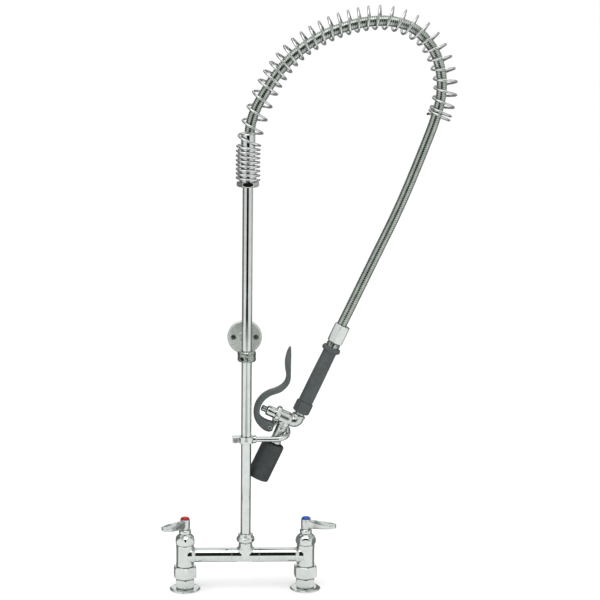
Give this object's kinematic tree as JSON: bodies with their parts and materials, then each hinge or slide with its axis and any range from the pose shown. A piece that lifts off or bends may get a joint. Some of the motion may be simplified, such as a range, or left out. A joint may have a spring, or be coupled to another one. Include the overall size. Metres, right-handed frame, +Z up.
{
  "type": "pre rinse faucet",
  "caption": "Deck-mounted pre-rinse faucet with lever handles, a wall-braced riser, an overhead spring arch and a hanging squeeze spray valve.",
  "frame": {"origin": "on the sink deck, midway between the two inlets", "axes": "+Z up, +X to the right and under the spring arch, +Y back towards the wall; the user stands at -Y"},
  "size_m": [0.481, 0.1998, 0.9775],
  "materials": {
    "chrome": "polished chrome plate",
    "cast_grey": "satin grey casting",
    "seal_rubber": "matt black",
    "brass": "turned",
    "steel": "turned stainless",
    "black_steel": "blackened, satin",
    "spring_steel": "bright stainless wire",
    "conduit": "interlocked stainless strip, slightly dull",
    "bumper_rubber": "moulded, satin",
    "grip_rubber": "moulded, satin",
    "lever_coating": "dipped coating, satin",
    "index_red": "gloss",
    "index_blue": "gloss"
  },
  "bodies": {
    "root": {"hot_deck_flange": "chrome", "cold_deck_flange": "chrome", "hot_lock_nut": "chrome", "cold_lock_nut": "chrome", "hot_inlet_nipple": "brass", "cold_inlet_nipple": "brass", "hot_coupling_nut": "chrome", "cold_coupling_nut": "chrome", "hot_valve_body": "chrome", "cold_valve_body": "chrome", "hot_bonnet": "chrome", "cold_bonnet": "chrome", "hot_stem_packing": "seal_rubber", "cold_stem_packing": "seal_rubber", "hot_packing_nut": "chrome", "cold_packing_nut": "chrome", "hot_crossbar_tube": "chrome", "cold_crossbar_tube": "chrome", "outlet_tee": "chrome", "riser_seal_ring": "seal_rubber", "swivel_nut": "chrome", "swivel_set_screw": "black_steel", "bracket_ring": "cast_grey", "bracket_set_screw": "black_steel", "bracket_rod": "cast_grey", "wall_flange": "cast_grey", "hot_side_wall_screw": "black_steel", "cold_side_wall_screw": "black_steel"},
    "hot_handle": {"hot_lever_handle": "chrome", "hot_handle_screw": "steel", "hot_index_button": "index_red", "hot_valve_stem": "brass", "hot_seat_washer": "seal_rubber"},
    "cold_handle": {"cold_lever_handle": "chrome", "cold_handle_screw": "steel", "cold_index_button": "index_blue", "cold_valve_stem": "brass", "cold_seat_washer": "seal_rubber"},
    "riser": {"riser_pipe": "chrome", "hook_clamp": "chrome", "hook_clamp_screw": "steel", "finger_hook": "chrome", "spring_adapter": "chrome", "arch_spring": "spring_steel", "hose_sleeve": "chrome", "hose_conduit": "conduit"},
    "spray_valve": {"handle_tube": "chrome", "hose_ferrule_nut": "chrome", "grip_sleeve": "grip_rubber", "grip_collar": "grip_rubber", "spray_valve_body": "chrome", "spray_bonnet": "chrome", "plunger_return_spring": "steel", "lever_pivot_screw": "steel", "outlet_neck": "chrome", "spray_bumper": "bumper_rubber", "spray_face": "chrome", "spray_face_screw": "steel"},
    "squeeze_lever": {"squeeze_lever": "lever_coating"},
    "plunger": {"plunger_stem": "brass"}
  },
  "joints": [
    {"name": "hot_handle_turn", "type": "hinge", "parent": "root", "child": "hot_handle", "pos_m": [-0.1016, 0, 0.1], "axis": [0, 0, 1], "range_deg": [0, 90]},
    {"name": "cold_handle_turn", "type": "hinge", "parent": "root", "child": "cold_handle", "pos_m": [0.1016, 0, 0.1], "axis": [0, 0, -1], "range_deg": [0, 90]},
    {"name": "riser_swivel", "type": "hinge", "parent": "root", "child": "riser", "pos_m": [0, 0, 0.09], "axis": [0, 0, 1], "range_deg": [-120, 20]},
    {"name": "valve_swing", "type": "hinge", "parent": "riser", "child": "spray_valve", "pos_m": [0.3144, 0.02, 0.848], "axis": [1, 0, 0], "range_deg": [0, 8], "stiffness_Nm_per_rad": 0.6, "springref_deg": -5.73, "deforming": ["hose_conduit", "arch_spring"]},
    {"name": "lever_squeeze", "type": "hinge", "parent": "spray_valve", "child": "squeeze_lever", "pos_m": [0.0396, 0.02, 0.2782], "axis": [0, 1, 0], "range_deg": [0, 9], "stiffness_Nm_per_rad": 1.5, "springref_deg": -8.59},
    {"name": "plunger_slide", "type": "slide", "parent": "spray_valve", "child": "plunger", "axis": [0.9078, 0, -0.4195], "range_m": [0, 0.0037]}
  ],
  "couplings": [
    {"joint": "plunger_slide", "follows": "lever_squeeze", "m_per_rad": 0.0235}
  ]
}
